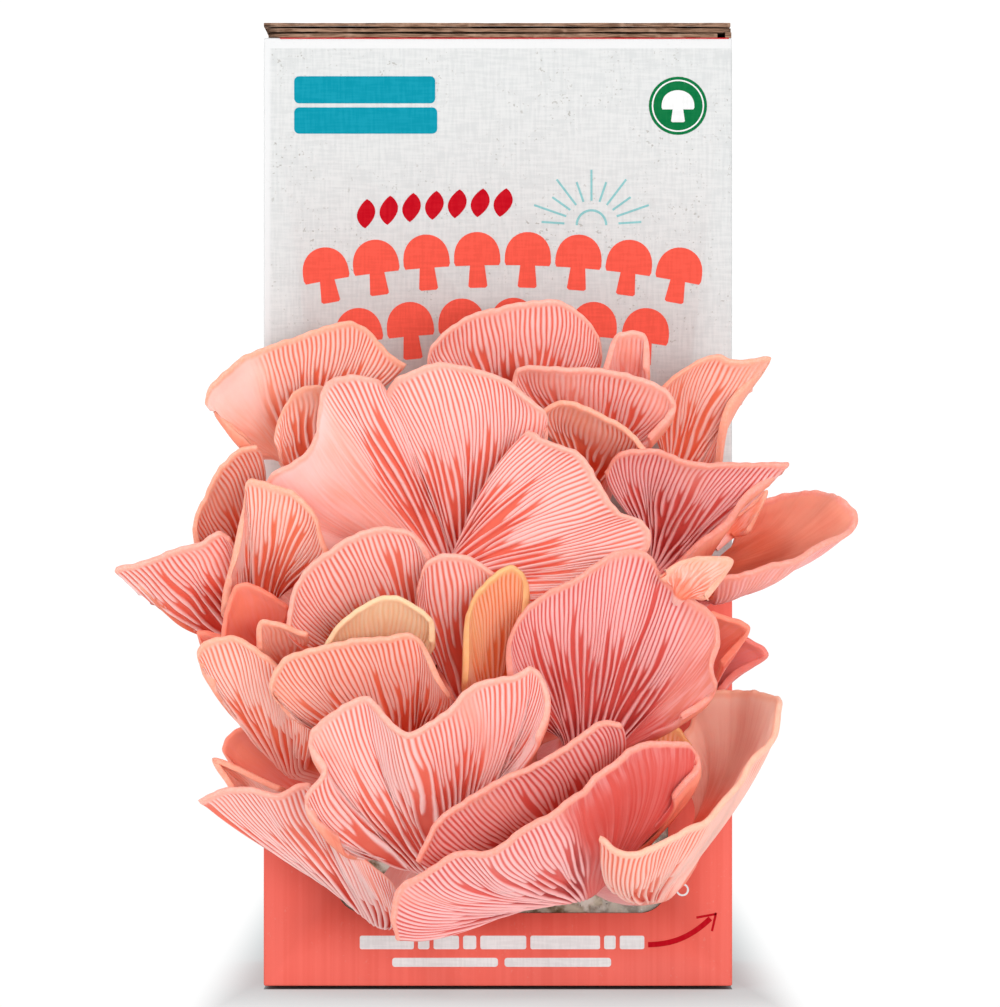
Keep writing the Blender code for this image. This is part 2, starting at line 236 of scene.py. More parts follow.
def printed_finish():
    """White over coral on a linen-pressed board, with a painted highlight, a paler band, up the left
    front edge and below the top edge.
    """
    finish, tree, shader = new_finish("printed_board", 0.55, 0.25)
    where, (x, y, z) = object_place(tree)
    linen = add_node(tree, "ShaderNodeGroup", node_tree=LINEN).outputs
    streaks = cloud(tree, stretched(tree, where, (700.0, 700.0, 12.0)), 1.0)
    white = mixed(tree, ramp(tree, linen["Weave"], 0.38, 0.62), (0.575, 0.59, 0.59),
                  (0.645, 0.655, 0.652))
    white = mixed(tree, linen["Specks"], white, (0.4, 0.39, 0.37))
    # Painted highlight: a paler band up the left front edge and a strip below the top edge, where the
    # creased board catches the light.
    from_side = maths(tree, "SUBTRACT", SIDE, maths(tree, "ABSOLUTE", x))
    at_front = ramp(tree, maths(tree, "SUBTRACT", y, FRONT), 0.0006, 0.0001)
    at_left = times(tree, maths(tree, "LESS_THAN", x, 0.0), at_front)
    fold_highlight = times(tree, ramp(tree, from_side, CREASE_HIGHLIGHT, CREASE_HIGHLIGHT * 0.5), at_left)
    lip_highlight = ramp(tree, z, SHELL_TOP - LIP_HIGHLIGHT - 0.0002, SHELL_TOP - LIP_HIGHLIGHT + 0.0002)
    white = mixed(tree, times(tree, maths(tree, "MAXIMUM", fold_highlight, lip_highlight), 0.85), white,
                  (0.72, 0.725, 0.73))
    coral = mixed(tree, ramp(tree, streaks, 0.35, 0.7), (0.82, 0.13, 0.094), (0.85, 0.147, 0.11))
    coral = mixed(tree, times(tree, linen["Specks"], 0.35), coral, (0.8, 0.25, 0.2))
    paint = mixed(tree, ramp(tree, z, CORAL_TOP + 0.0001, CORAL_TOP - 0.0001), white, coral)
    tree.links.new(paint, shader.inputs["Base Color"])
    bump(tree, shader, linen["Weave"], 0.00012, 0.35)
    return finish


def kraft_finish():
    """Raw board: brown, with the grain of its cut fibres."""
    finish, tree, shader = new_finish("kraft_board", 0.9, 0.1)
    where = object_place(tree)[0]
    grain = cloud(tree, stretched(tree, where, (260.0, 900.0, 3800.0)), 1.0, 4.0)
    blotch = cloud(tree, where, 420.0, 3.0)
    colour = mixed(tree, ramp(tree, grain, 0.32, 0.68), (0.12, 0.062, 0.036), (0.36, 0.215, 0.145))
    colour = mixed(tree, ramp(tree, blotch, 0.5, 0.8), colour, (0.42, 0.27, 0.19))
    tree.links.new(colour, shader.inputs["Base Color"])
    bump(tree, shader, grain, 0.0004, 0.8)
    return finish


PRINTED = printed_finish()
KRAFT = kraft_finish()


def disc(x, z, radius, start=0.0, turn=360.0, steps=40):
    """Points round an arc. Angles are in degrees from the right, turning up."""
    angles = np.radians(np.linspace(start, start + turn, steps, endpoint=turn < 360))
    return [(x + radius * math.cos(angle), z + radius * math.sin(angle)) for angle in angles]


def rounded(left, right, low, high, radius, steps=6):
    """Points of a rectangle with rounded corners."""
    corners = ((right, high, 0), (left, high, 90), (left, low, 180), (right, low, 270))
    points = []
    for x, z, start in corners:
        inner_x = x - radius if x == right else x + radius
        inner_z = z - radius if z == high else z + radius
        points += disc(inner_x, inner_z, radius, start, 90, steps)
    return points


def plate(outline, front, back):
    """A flat plate that faces forward, from points (x, z) in millimetres round its outline."""
    unselect()
    bpy.ops.mesh.primitive_circle_add(vertices=len(outline), fill_type="NGON")
    made = bpy.context.object
    for vertex, (x, z) in zip(made.data.vertices, outline):
        vertex.co = (x / 1000, back, z / 1000)
    edit_all(made)
    bpy.ops.mesh.extrude_region_move(TRANSFORM_OT_translate={"value": (0, front - back, 0)})
    face_outwards(made)
    return made


shell = add_box("carton_shell", (-SIDE, FRONT, 0), (SIDE, BACK, SHELL_TOP))
soften(shell, 0.0005, 3)
subtract(shell, add_box("inside", (-SIDE + BOARD, FRONT + BOARD, BOARD),
                        (SIDE - BOARD, BACK - BOARD, SHELL_TOP + BOARD)))
subtract(shell, plate(rounded(*WINDOW, 7, 12), FRONT - BOARD, FRONT + 2 * BOARD))
finish_piece(shell, "carton", PRINTED)
shell.data.materials.append(KRAFT)
for face in shell.data.polygons:
    middle = face.center
    outside = abs(middle.x) > SIDE - 0.0006 or not FRONT + 0.0006 < middle.y < BACK - 0.0006
    face.material_index = 0 if outside or middle.z < 0.0006 else 1

# ------------------------------------------------------------
# The carton's top: three flaps of the same blank, pressed flat and glued. Their raw front edges
# show as three brown lines of kraft, a little out of step, over a thin red line of print.

FLAP_CUTS = 22  # rows of points each way, to dent the board
FLAPS = ((0.0011, 0.0036), (0.0008, 0.0003), (0.0, 0.0004))  # each set in from the left and right
for layer, (from_left, from_right) in enumerate(FLAPS):
    low = SHELL_TOP + layer * (FLAP + FLAP_GAP)
    flap = add_box(f"top_flap_{layer + 1}", (-SIDE + from_left, FRONT + 0.0001 * layer, low),
                   (SIDE - from_right, BACK, low + FLAP))
    soften(flap, 0.00015)
    edit_all(flap)
    bpy.ops.mesh.subdivide(number_cuts=FLAP_CUTS)
    bpy.ops.object.mode_set(mode="OBJECT")
    drift = Vector((0, layer * 0.05, 0))
    shift_points(flap, lambda points, normals: points + normals * np.minimum(
        0, 0.00016 * lumps(points + np.array(drift), 0.005) - 0.00004)[:, None])
    finish_piece(flap, "carton", KRAFT)
    flap.data.materials.append(PRINTED)
    for face in flap.data.polygons:
        face.material_index = int(layer == 2 and face.normal.z > 0.7)

corner_post = add_box("fold_corner", (SIDE - 0.0017, FRONT + 0.0001, SHELL_TOP),
                      (SIDE - 0.0002, BACK - BOARD, SHELL_TOP + FLAP + FLAP_GAP))
finish_piece(corner_post, "carton", KRAFT)

# ------------------------------------------------------------
# The print on the front: flat shapes of ink on the board. The words and marks of a seller are
# left out, and plain bars, blocks, a sun, a badge and an arrow hold their places.

INK = 0.00006  # how proud of the board the ink stands
SECOND_INK = 0.0001  # and how proud the inks stand that may lie over others
INK_COLOURS = {
    "teal": (0.0, 0.25, 0.34), "pale_teal": (0.22, 0.46, 0.47), "green": (0.0, 0.14, 0.04),
    "white": (0.72, 0.73, 0.73), "dark_red": (0.45, 0.0, 0.008), "coral": (0.74, 0.085, 0.055),
}


def ink_finish(name, colour):
    """A flat ink that takes the board's linen and lets specks of it through."""
    finish, tree, shader = new_finish("ink_" + name, 0.6, 0.05)
    linen = add_node(tree, "ShaderNodeGroup", node_tree=LINEN).outputs
    pale = tuple(min(1.0, part * 1.1 + 0.004) for part in colour)
    shade = mixed(tree, ramp(tree, linen["Weave"], 0.4, 0.62), colour, pale)
    tree.links.new(shade, shader.inputs["Base Color"])
    bump(tree, shader, linen["Weave"], 0.00012, 0.3)
    return finish


def print_shapes(name, outlines, ink, proud=INK):
    """Prints a group of shapes in one ink, as one piece."""
    shapes = [plate(outline, FRONT - proud, FRONT + 0.00002) for outline in outlines]
    unselect()
    for shape in shapes:
        shape.select_set(True)
    bpy.context.view_layer.objects.active = shapes[0]
    if len(shapes) > 1:
        bpy.ops.object.join()
    shapes[0].name = name
    finish_piece(shapes[0], "carton", ink_finish(ink, INK_COLOURS[ink]))


def stroke(points, width):
    """The outline of a line of that width through points."""
    points = np.array(points, float)
    ahead = np.gradient(points, axis=0)
    side = np.stack((-ahead[:, 1], ahead[:, 0]), axis=1) / np.linalg.norm(ahead, axis=1)[:, None]
    half = side * width / 2
    return [*map(tuple, points + half), *map(tuple, (points - half)[::-1])]


def ring(x, z, radius, width):
    """A ring as two half strokes."""
    halves = (disc(x, z, radius, 0, 180, 24), disc(x, z, radius, 180, 180, 24))
    return [stroke(half, width) for half in halves]


def on_arc(outline, middle_x, peak, radius):
    """Bends a flat row of shapes over an arc that peaks at that height."""
    bent = []
    for x, z in outline:
        angle = (x - middle_x) / radius
        reach = radius + z
        bent.append((middle_x + reach * math.sin(angle), peak - radius + reach * math.cos(angle)))
    return bent


def block_row(widths, gap, height, radius, middle_x):
    """Rounded blocks side by side about a middle, standing on zero."""
    left = middle_x - (sum(width + gap for width in widths) - gap) / 2
    made = []
    for width in widths:
        made.append(rounded(left, left + width, 0, height, radius))
        left += width + gap
    return made


teal_bars = [rounded(-49.7, -15.3, 215.3, 221.9, 1.2), rounded(-49.7, -14.8, 207.9, 214.3, 1.2)]
print_shapes("teal_bars", teal_bars, "teal")


def mushroom_shape(left, width, height):
    """A plain mushroom standing on zero: a domed cap on a stem that widens to its foot."""
    middle, half, brim = left + width / 2, width / 2, height * 0.46
    angles = np.radians(np.linspace(0, 180, 22))
    dome = [(middle + half * math.cos(angle), brim + (height - brim) * math.sin(angle) ** 0.8)
            for angle in angles]
    under, foot = brim - height * 0.06, width * 0.21
    side = [(half * 0.94, under), (width * 0.16, under), (foot, height * 0.03), (foot * 0.8, 0)]
    left_side, right_side = ([(middle + way * out, z) for out, z in side] for way in (-1, 1))
    return dome + left_side + right_side[::-1]


def leaf_shape(left, width, height):
    """A plain pointed leaf standing on zero, leaning to the right."""
    rise = np.linspace(0, 1, 14)
    bulge = width * 0.42 * np.sin(math.pi * rise) ** 0.8
    spine = left + width * (0.35 + 0.3 * rise)
    return [*zip(spine - bulge, height * rise), *zip((spine + bulge)[::-1], height * rise[::-1])][::-1]


def arched(shapes, peak, radius):
    return [on_arc(shape, 1.0, peak, radius) for shape in shapes]


leaves = [leaf_shape(-34.4 + 5.5 * number, 5.3, 7.0) for number in range(7)]
print_shapes("red_leaves", arched(leaves, 187.6, 200), "dark_red")
coral_row = [mushroom_shape(-46.4 + 12.0 * number, 11.0, 13.6) for number in range(8)]
print_shapes("coral_mushrooms", arched(coral_row, 170.4, 237), "coral")
lower_row = [mushroom_shape(left, 11.2, 14.0) for left in (-38.5, -26.3, -14.1, -1.9, 17.0, 29.4)]
print_shapes("lower_coral_mushrooms", arched(lower_row, 153.9, 237), "coral")

SUN_X, SUN_Z = 22.8, 185.6
rays = []
for number in range(11):
    angle = math.radians(172 * number / 10 + 4)
    near, far = 6.6, 15.0 if number % 2 else 12.2
    rays.append(stroke([(SUN_X + reach * math.cos(angle), SUN_Z + reach * 0.9 * math.sin(angle))
                        for reach in (near, far)], 0.5))
rays.append(stroke(disc(SUN_X, SUN_Z, 3.6, 0, 180, 24), 0.55))
print_shapes("sun", rays, "pale_teal")

BADGE_X, BADGE_Z = 43.9, 214.7
print_shapes("badge", [disc(BADGE_X, BADGE_Z, 7.1)], "green")
symbol = [(x, z + BADGE_Z - 4.0) for x, z in mushroom_shape(BADGE_X - 4.0, 8.0, 7.8)]
print_shapes("badge_symbol", [symbol, *ring(BADGE_X, BADGE_Z, 6.2, 0.35)], "white", SECOND_INK)

first_line = block_row((13.2, 2.8, 6.2, 3.2, 11.2, 17.0, 2.8, 6.0), 1.0, 3.3, 0.5, 1.0)
print_shapes("first_white_line", [[(x, z + 9.0) for x, z in block] for block in first_line], "white",
             SECOND_INK)
second_line = block_row((25.8, 26.0), 1.6, 2.2, 0.7, 0.9)
print_shapes("second_white_line", [[(x, z + 4.7) for x, z in block] for block in second_line], "white",
             SECOND_INK)
scissors = [*ring(41.6, 23.9, 1.35, 0.45), *ring(45.0, 23.5, 1.35, 0.45),
            stroke([(42.2, 25.2), (43.9, 27.9)], 0.45), stroke([(44.3, 24.8), (42.9, 27.9)], 0.45)]
print_shapes("scissors", scissors, "white", SECOND_INK)
bow = [(36.6 + 15.2 * t, 10.1 + 0.4 * t + 6.0 * t**2.4) for t in np.linspace(0, 1, 20)]
head = [stroke([(48.4, 16.7), (53.2, 17.6)], 0.55), stroke([(53.2, 17.9), (52.2, 13.4)], 0.55)]
print_shapes("curved_arrow", [stroke(bow, 1.3), *head], "dark_red", SECOND_INK)

red_line = add_box("red_line", (-SIDE + 0.004, FRONT - SECOND_INK, SHELL_TOP - 0.00028),
                   (SIDE - 0.0008, FRONT + SECOND_INK, SHELL_TOP - 0.00002))
finish_piece(red_line, "carton", ink_finish("red_line", (0.5, 0.01, 0.012)))

# ------------------------------------------------------------
# The growing block: sawdust pressed into a brick and knitted together by the fungus's threads.
# It is soft-edged and lumpy, white where the threads are thick and brown where bark shows.

low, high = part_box("growing_block")
block = add_box("block", low, high)
soften(block, 0.006, 4)
apply_modifier(block, "REMESH", mode="VOXEL", voxel_size=0.002)
shift_points(block, lambda points, normals: points + normals * (
    0.0007 * lumps(points, 0.012) + 0.0004 * lumps(points, 0.004) - 0.0009)[:, None])
bpy.ops.object.shade_smooth()

finish, tree, shader = new_finish("mycelium", 0.85, 0.15)
where = object_place(tree)[0]
threads = cloud(tree, where, 260.0, 6.0)
colour = mixed(tree, ramp(tree, threads, 0.4, 0.6), (0.2, 0.15, 0.085), (0.62, 0.58, 0.46))
colour = mixed(tree, ramp(tree, cloud(tree, where, 160.0, 4.0), 0.5, 0.62), colour, (0.78, 0.76, 0.68))
crumbs = ramp(tree, cloud(tree, where, 700.0, 2.0), 0.64, 0.7)
colour = mixed(tree, crumbs, colour, (0.035, 0.022, 0.012))
tree.links.new(colour, shader.inputs["Base Color"])
bump(tree, shader, threads, 0.001)
finish_piece(block, "growing_block", finish)

# ------------------------------------------------------------
# The grow bag: a loose sleeve of clear film round the block, cut open in front so that the
# cluster can come out. Its cut edge and its small folds shine.

low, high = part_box("grow_bag")
bag = add_box("bag", low, high)
apply_modifier(bag, "REMESH", mode="VOXEL", voxel_size=0.003)
CUT_MIDDLE = (0.001, 0.052)
CUT_ACROSS, CUT_UP = 0.035, 0.039
doomed = []
for vertex in bag.data.vertices:
    across = (vertex.co.x - CUT_MIDDLE[0]) / CUT_ACROSS
    up = (vertex.co.z - CUT_MIDDLE[1]) / CUT_UP
    doomed.append(across**2 + up**2 < 1 and vertex.co.y < low.y + 0.001)
edit_all(bag)
bpy.ops.mesh.select_all(action="DESELECT")
bpy.ops.object.mode_set(mode="OBJECT")
bag.data.vertices.foreach_set("select", doomed)
bpy.ops.object.mode_set(mode="EDIT")
bpy.ops.mesh.delete(type="VERT")
bpy.ops.object.mode_set(mode="OBJECT")
shift_points(bag, lambda points, normals: points - normals * (
    0.00015 + 0.00012 * lumps(points * np.array((1, 1, 0.35)), 0.006))[:, None])
bpy.ops.object.shade_smooth()

finish, tree, shader = new_finish("clear_film", 0.12, 0.7)
shader.inputs["Base Color"].default_value = (0.75, 0.76, 0.74, 1)
shader.inputs["Alpha"].default_value = 0.22
folds = cloud(tree, stretched(tree, object_place(tree)[0], (300.0, 300.0, 90.0)), 1.0)
bump(tree, shader, folds, 0.0008)
finish_piece(bag, "grow_bag", finish)

# ------------------------------------------------------------
# The cluster's base: the mass of young stems, fused into one lump, that the whole cluster
# springs from. It is dense pink flesh, knobbly all over and rooted flat in the block.

BASE_MIDDLE = (1.0, 1.0, 52.0)
BASE_RADII = (29.0, 27.0, 33.0)
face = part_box("cluster_base")[1].y  # the base is flat there, against the block
unselect()
bpy.ops.mesh.primitive_uv_sphere_add(segments=96, ring_count=64, radius=1)
base = bpy.context.object
base.name = "base"
centre = np.array((BASE_MIDDLE[0] / 1000, FRONT - BASE_MIDDLE[1] / 1000, BASE_MIDDLE[2] / 1000))
radii = np.array(BASE_RADII) / 1000


def knobbly(points, normals):
    grown = centre + points * radii
    grown += normals * (0.0012 * lumps(grown, 0.011) + 0.0005 * lumps(grown, 0.004) - 0.0008)[:, None]
    grown[:, 1] = np.minimum(grown[:, 1], face)
    return grown


shift_points(base, knobbly)
bpy.ops.object.shade_smooth()
finish, tree, shader = new_finish("fused_flesh", 0.5, 0.3)
where = object_place(tree)[0]
lump = cloud(tree, where, 120.0, 4.0)
colour = mixed(tree, ramp(tree, lump, 0.35, 0.65), (0.72, 0.13, 0.08), (0.93, 0.38, 0.29))
tree.links.new(colour, shader.inputs["Base Color"])
bump(tree, shader, lump, 0.0008)
finish_piece(base, "cluster_base", finish)

# ------------------------------------------------------------
# How a mushroom is shaped: a stem that widens into a fan of tender flesh, grown in one piece.
# Gills run down its inner face to the stem, and more of them start between as the fan widens.

GILL_SPACING = 0.00123
STRIPS_PER_GILL = 4
RIM_THICKNESS = 0.0015
RIM_BAND = 0.001  # smooth flesh between the gills and the edge
STEM_ROWS = 7
FAN_ROWS = 34
RIM_ROWS = (0.75, 0.45, 0.2, 0.05, 0.0)  # distances from the edge, in half thicknesses
FOOT_TAPER = 0.7
SHOULDER = 0.16
FOOT_GAP = 0.39


def place(point):
    """(right, out of the carton's face, up) in millimetres to metres in the frame."""
    return np.array((point[0], 1000 * FRONT - point[1], point[2])) / 1000


def unit(vectors):
    return vectors / np.maximum(np.linalg.norm(vectors, axis=-1, keepdims=True), 1e-12)


def bezier(a, b, c, d, t):
    return (1 - t) ** 3 * a + 3 * t * (1 - t) ** 2 * b + 3 * t * t * (1 - t) * c + t**3 * d


def even_curve(points, count):
    """Points evenly spaced along a smooth curve through the given ones, and its length."""
    points = np.array(points)
    ends = np.vstack((2 * points[0] - points[1], points, 2 * points[-1] - points[-2]))
    fine = []
    for before, start, end, after in zip(ends, ends[1:], ends[2:], ends[3:]):
        for t in np.linspace(0, 1, 24, endpoint=False):
            fine.append(bezier(start, start + (end - before) / 6, end - (after - start) / 6, end, t))
    fine = np.array(fine + [points[-1]])
    along = np.concatenate(([0], np.cumsum(np.linalg.norm(np.diff(fine, axis=0), axis=1))))
    wanted = np.linspace(0, along[-1], count)
    spaced = np.stack([np.interp(wanted, along, fine[:, axis]) for axis in range(3)], axis=1)
    return spaced, along[-1]


def foot_of(foot, neck):
    """Where a stem starts and the way it sets off: on the base, below the foot or the neck, or at
    a point ("branch", point) on another stem."""
    if foot and foot[0] == "branch":
        return place(foot[1]), unit(place(neck) - place(foot[1]))
    middle, radii = np.array(BASE_MIDDLE), np.array(BASE_RADII)
    ray = unit(np.array(foot or neck, float) - middle)
    skin = middle + ray / np.linalg.norm(ray / radii)
    normal = unit((skin - middle) / radii**2)
    start = place(skin + normal * FOOT_GAP)
    return start, unit(place(skin + normal) - place(skin))


def smoothstep(low, high, value):
    t = np.clip((value - low) / (high - low), 0, 1)
    return t * t * (3 - 2 * t)


def waves(dice, along, lengths):
    """A sum of sine waves, one for each length, each at its own phase."""
    total = np.zeros_like(along)
    for length in lengths:
        total = total + np.sin(2 * math.pi * (along / length + dice.random())) * dice.uniform(0.6, 1.0)
    return total / len(lengths)


def gill_heights(dice, strips, reach, share):
    """How far each point of the gilled face stands up, from 0 in a valley to 1 on a ridge.
    A fourth of the gills run the whole way, the others fade out towards the stem."""
    count = strips // STRIPS_PER_GILL
    at = np.arange(strips + 1) / STRIPS_PER_GILL
    heights = np.zeros((len(reach), strips + 1))
    jitter = dice.normal(0, 1, count + 8)
    wide = 0.24 + 0.05 * smoothstep(0.2, 0.9, reach)[:, None]
    for first, step, fade in ((0, 4, -1.0), (2, 4, 0.28), (1, 2, 0.56)):
        nearest = first + step * np.round((at - first) / step)
        away = np.abs(at - nearest) * share
        start = fade + 0.1 * jitter[np.clip(nearest.astype(int), 0, count + 7)]
        there = smoothstep(start, start + 0.14, reach[:, None])
        heights = np.maximum(heights, there * np.exp(-((away / wide) ** 2)))
    return heights


def wander(dice, sheet, reach, rim_length, share):
    """Slides the strips of a fan sideways within it, so that no gill runs dead straight."""
    strips = sheet.shape[1] - 1
    at = np.arange(strips + 1)
    along = at / strips * rim_length
    own = dice.random(strips // STRIPS_PER_GILL + 2) * 2 * math.pi
    own = np.interp(at / STRIPS_PER_GILL, np.arange(len(own)), own)
    margin = smoothstep(0, 0.12, at / strips) * smoothstep(0, 0.12, 1 - at / strips)
    moved = np.empty_like(sheet)
    phases = dice.random(4)
    for row, f in enumerate(reach):
        window = smoothstep(0.02, 0.2, f) * smoothstep(1.0, 0.8, f)
        drift = 0.32 * np.sin(2 * math.pi * (along / 0.021 + 1.1 * f + phases[0]))
        drift += 0.25 * np.sin(2 * math.pi * (along / 0.013 - 1.7 * f + phases[1]))
        drift += (0.07 * np.sin(own + 2 * math.pi * 3.2 * f)
                  + 0.03 * np.sin(2.3 * own + 2 * math.pi * 7.0 * f))
        strip = max(share[row], 0.08) * GILL_SPACING * 1000 / STRIPS_PER_GILL
        shifted = at + window * margin * drift * (0.3 + 0.7 * share[row]) / strip
        shifted = np.concatenate(([0], np.cumsum(np.clip(np.diff(shifted), 0.5, 1.7))))
        shifted *= strips / shifted[-1]
        for axis in range(3):
            moved[row, :, axis] = np.interp(shifted, at, sheet[row, :, axis])
    return moved


def grow_mushroom(name, neck, rim, bulge, stem, foot, seed, gills=1.0, ruffle=2.2, calm=(2, 2, 0)):
    """Lofts a mushroom from its round stem to the edge of its fan and raises its gills. Between the
    two shares of its width in calm the gills all but vanish, and a third number pales the colour
    there, or deepens it towards the painted shade of the stem if it is below 0."""
    dice = np.random.default_rng(seed)
    neck_at, stem, bulge = place(neck), stem / 1000, bulge / 1000
    half_rim = RIM_THICKNESS / 2
    edge_guide = [place(point) for point in rim]
    rim_length = even_curve(edge_guide, 50)[1]
    strips = STRIPS_PER_GILL * max(8, round(rim_length / GILL_SPACING))
    edge = even_curve(edge_guide, strips + 1)[0]
    start, normal = foot_of(foot, neck)
    across = np.linspace(0, 1, strips + 1)
    spread, arch = -np.cos(math.pi * across), np.sin(math.pi * across)

    heading = unit(unit(neck_at - start) + 0.6 * unit(edge.mean(axis=0) - neck_at))
    wide = edge[-1] - edge[0]
    side = unit(wide - wide.dot(heading) * heading)

    middles, halves, facings, reaches = [], [], [], []
    length = np.linalg.norm(neck_at - start)
    for t in np.linspace(0, 1, STEM_ROWS):
        middle = bezier(start, start + normal * length * 0.4, neck_at - heading * length * 0.35,
                        neck_at, t)
        along = unit(normal * (1 - t) + heading * t)
        right = unit(side - side.dot(along) * along)
        radius = stem * (FOOT_TAPER + (1 - FOOT_TAPER) * t)
        middles.append(middle + np.outer(spread, right) * radius * (1 + 0.3 * t))
        halves.append(arch * radius)
        facings.append(np.tile(np.cross(right, along), (strips + 1, 1)))
        reaches.append(-(1 - t))

    root = middles[-1]
    span = edge - root
    far = np.linalg.norm(span, axis=1, keepdims=True)
    turn = np.cross(np.gradient(edge, axis=0), edge - neck_at)
    swell = unit(0.5 * unit(turn) + 0.5 * unit(turn.mean(axis=0)))
    shoulder = np.outer(spread, side) * np.linalg.norm(wide) * SHOULDER
    opening = root + heading * far * 0.12 + span * 0.15 + shoulder / 2
    filling = root + span * 0.6 + shoulder + swell * bulge
    along_rim = across * rim_length
    ripple = min(1, rim_length / 0.11) * ruffle / 1000 * waves(dice, along_rim, (0.041, 0.026, 0.017))
    fret = 0.0003 * waves(dice, along_rim, (0.009, 0.0055, 0.0034))
    inner = np.linspace(0, 1, FAN_ROWS + 1)[1:] ** 0.9 * (1 - 1.2 * half_rim / np.median(far))
    fan = np.array([bezier(root, opening, filling, edge, f) for f in inner])
    outward = unit(edge - fan[-1])
    rounding = np.array([edge - outward * step * half_rim for step in RIM_ROWS])
    fan_reach = np.concatenate((inner, 1 - np.array(RIM_ROWS) * 0.01))
    widths = np.linalg.norm(np.diff(fan, axis=1), axis=2).sum(axis=1) / rim_length
    fan = wander(dice, fan, inner, rim_length, np.clip(widths, 0.05, 1))
    sheet = np.concatenate((fan, rounding))
    sheet += swell * (ripple[:, None] * (fan_reach**2)[:, None, None])
    sheet += outward * (fret[:, None] * (fan_reach**8)[:, None, None])
    facing = unit(np.cross(np.gradient(sheet, axis=1), np.gradient(sheet, axis=0)))
    facing[-len(RIM_ROWS):] = facing[-len(RIM_ROWS) - 1]
    from_edge = np.linalg.norm(sheet - sheet[-1], axis=2)
    sheet += facing * 0.0006 * smoothstep(0.004, 0.0, from_edge)[:, :, None]
    for row, f in enumerate(fan_reach):
        travelled = np.cumsum(np.linalg.norm(np.diff(sheet[row], axis=0), axis=1))
        travelled = np.concatenate(([0], travelled))
        margin = np.minimum(travelled, travelled[-1] - travelled)
        flat = half_rim + (stem - half_rim) * (1 - f) ** 3.2
        rounded_side = np.sqrt(1 - (1 - np.clip(margin / flat, 0, 1)) ** 2)
        step = RIM_ROWS[row - FAN_ROWS] if row >= FAN_ROWS else 1.0
        halves.append(flat * rounded_side * math.sqrt(1 - (1 - step) ** 2))
    middles = np.concatenate((np.array(middles), sheet))
    facings = np.concatenate((np.array(facings), facing))
    halves = np.array(halves)
    reach = np.concatenate((np.array(reaches), fan_reach))

    widths = np.linalg.norm(np.diff(middles, axis=1), axis=2).sum(axis=1)
    share = np.clip(widths / rim_length, 0.05, 1)
    ridge = gill_heights(dice, strips, reach, share[:, None])
    from_edge = np.linalg.norm(middles - middles[-1], axis=2)
    within = smoothstep(RIM_BAND * 0.4, RIM_BAND * 2.6, from_edge)
    fade = smoothstep(-0.5, 0.1, reach)[:, None] * np.minimum(1, share * 2.5)[:, None]
    vigour = np.array([waves(np.random.default_rng(seed + 900), along_rim + 0.02 * f, (0.037, 0.022))
                       for f in reach])
    vigour = gills * np.clip(0.72 + 0.5 * vigour + 0.25 * np.clip(1 - reach, 0, 1)[:, None], 0.15, 1.2)
    shore = smoothstep(calm[0] - 0.08, calm[0] + 0.08, across)
    shore = shore * smoothstep(calm[1] + 0.08, calm[1] - 0.08, across)
    vigour = vigour * (1 - 0.95 * shore)
    depth = 0.0007 + 0.0008 * np.clip(1 - reach, 0, 1)[:, None] ** 1.2
    depth = depth * within * fade * vigour * smoothstep(0, 0.0024, halves * 2)
    front = middles + facings * (halves - depth * (1 - ridge) + 0.25 * depth * ridge)[:, :, None]
    back = middles - facings * halves[:, :, None]

    columns, rows = 2 * strips, len(middles) - 1
    unselect()
    bpy.ops.mesh.primitive_grid_add(x_subdivisions=columns, y_subdivisions=rows, size=0.01)
    made = bpy.context.object
    made.name = name + "_grown"
    points = np.concatenate((front, back[:, -2::-1]), axis=1)
    made.data.vertices.foreach_set("co", points.reshape(-1).astype(np.float32))
    gilled = within * fade * np.clip(vigour, 0, 1) * (0.35 + 0.65 * smoothstep(0, 0.003, halves * 2))
    plain = np.zeros_like(gilled)[:, 1:]
    # A negative third number in calm lowers the reach that the colour reads there, darkening it
    # towards the painted shade of the stem.
    toned = np.maximum(reach[:, None] + calm[2] * shore, np.minimum(reach, 0.05)[:, None])
    readings = {
        "gilled": np.concatenate((gilled, plain), axis=1),
        "ridge": np.concatenate((ridge, plain + 1), axis=1),
        "underside": np.concatenate((np.ones_like(gilled), plain), axis=1),
        "reach": np.concatenate((toned, np.tile(reach[:, None], (1, strips))), axis=1),
        "rim": np.concatenate((1 - within, 1 - within[:, -2::-1]), axis=1),
        "across": np.tile(np.concatenate((along_rim, along_rim[-2::-1])), (rows + 1, 1)),
    }
    for label, values in readings.items():
        layer = made.data.attributes.new(label, "FLOAT", "POINT")
        layer.data.foreach_set("value", values.reshape(-1).astype(np.float32))
    edit_all(made)
    bpy.ops.mesh.remove_doubles(threshold=1e-7)
    bpy.ops.object.mode_set(mode="OBJECT")
    face_outwards(made)
    bpy.ops.object.shade_smooth()
    return made


# ------------------------------------------------------------
# What mushroom flesh looks like: pale pink along each gill and coral to deep red between them, with a
# smooth peach edge. The coral between the gills is partly the flesh's own and partly painted shade,
# and the deep red towards the stem, between the gills and on the outer faces, is painted shade. The
# outer faces are smooth, streaked from the stem to the edge.

FLESH_INPUTS = ("Ridge", "Valley_tone_and_shade", "Deep", "Rim", "Top", "Heart_shade", "Stem")


